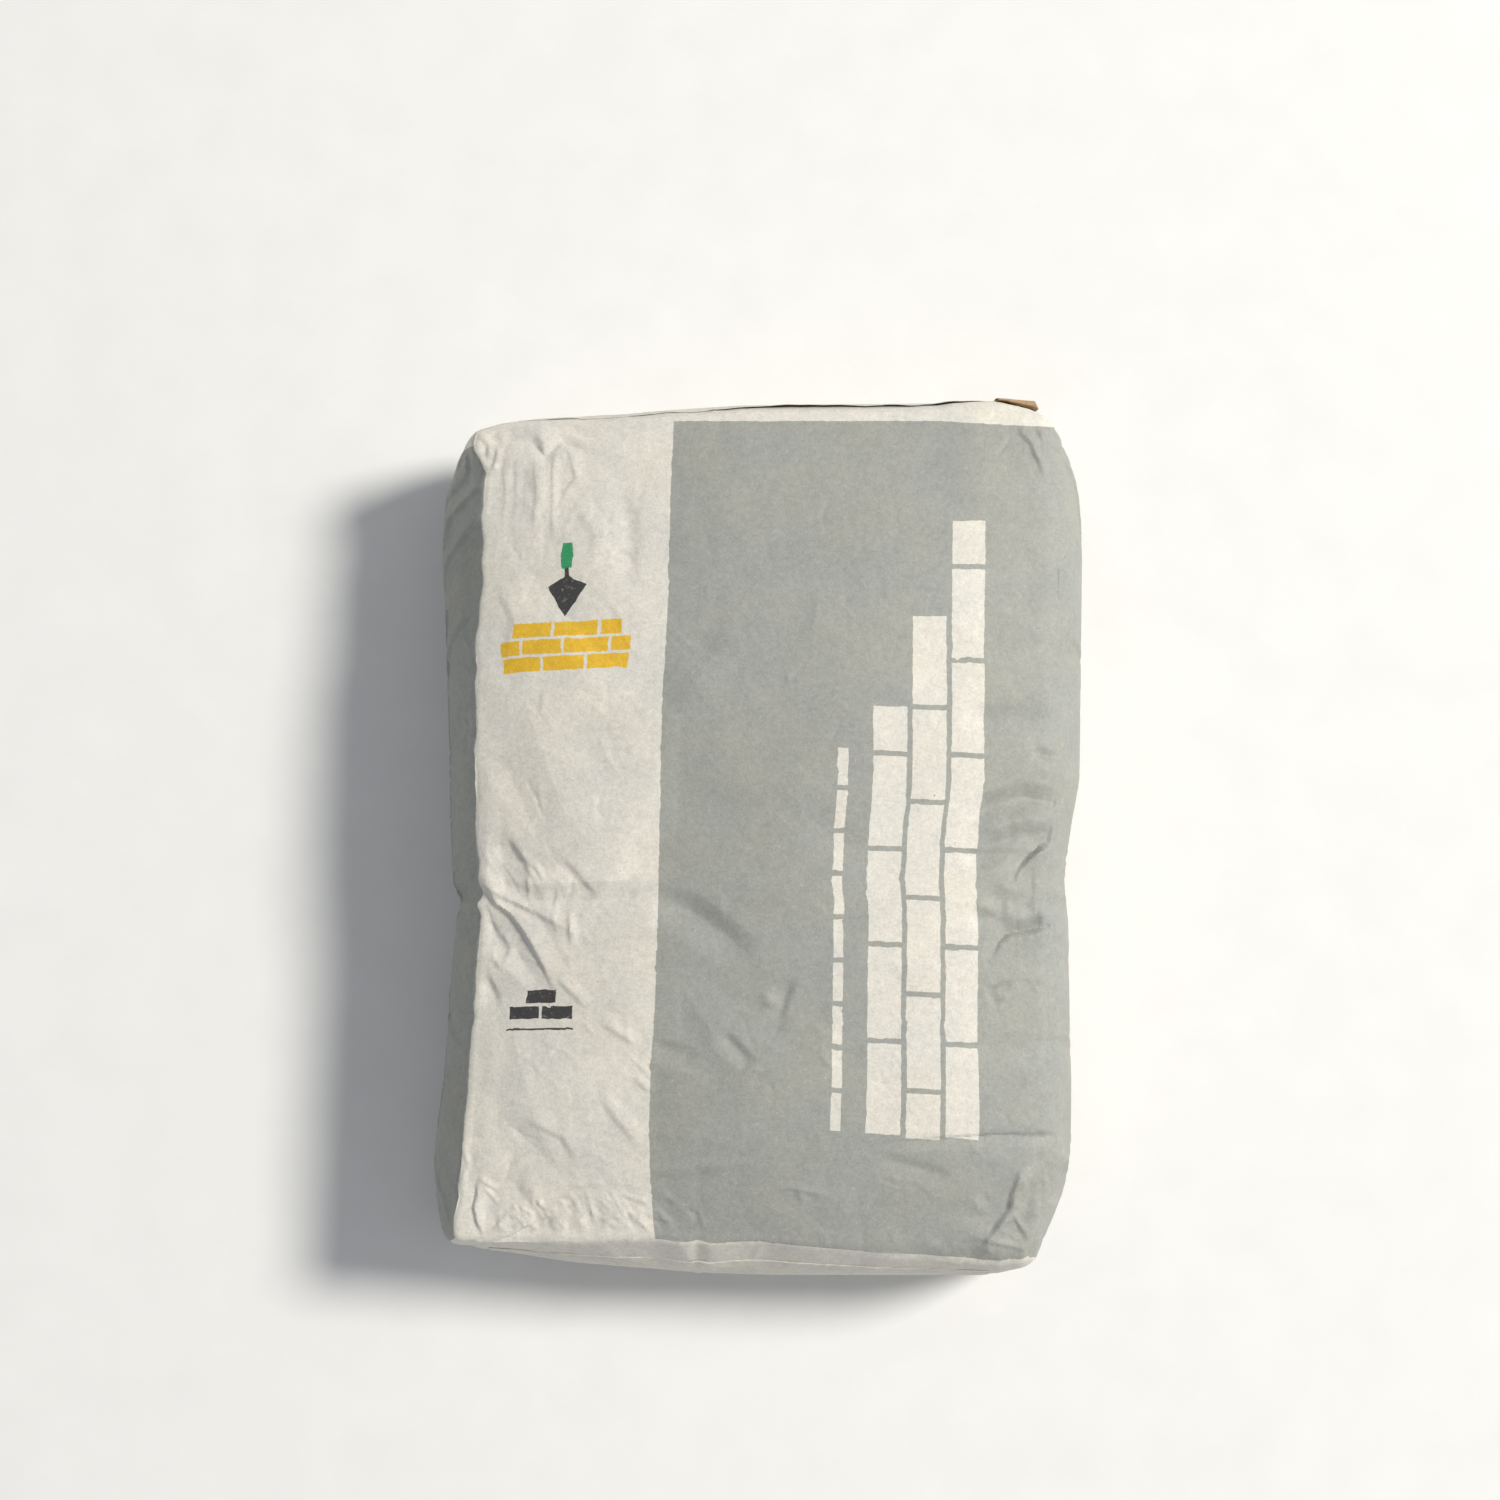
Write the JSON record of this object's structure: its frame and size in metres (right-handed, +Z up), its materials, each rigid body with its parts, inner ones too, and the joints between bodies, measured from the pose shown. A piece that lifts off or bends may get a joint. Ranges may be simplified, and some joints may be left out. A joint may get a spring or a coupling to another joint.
{
  "type": "cement bag",
  "caption": "Filled paper valve sack of cement, lying flat, with a pasted paper patch over each block end and a kraft valve sleeve in one corner.",
  "frame": {"origin": "on the floor, under the middle of the lying sack's bounding box", "axes": "+Y along the sack's length, towards the valve end; +X across its width, towards the valve's corner; +Z up through its thickness, out of the front panel"},
  "size_m": [0.324, 0.4402, 0.116],
  "materials": {
    "printed_paper": "matt, grey ink on white kraft paper",
    "white_paper": "matt bleached kraft paper",
    "brown_kraft": "matt unbleached kraft paper"
  },
  "bodies": {
    "root": {"paper_sack": "printed_paper", "valve_end_patch": "white_paper", "plain_end_patch": "white_paper", "valve_sleeve": "brown_kraft"}
  },
  "joints": []
}
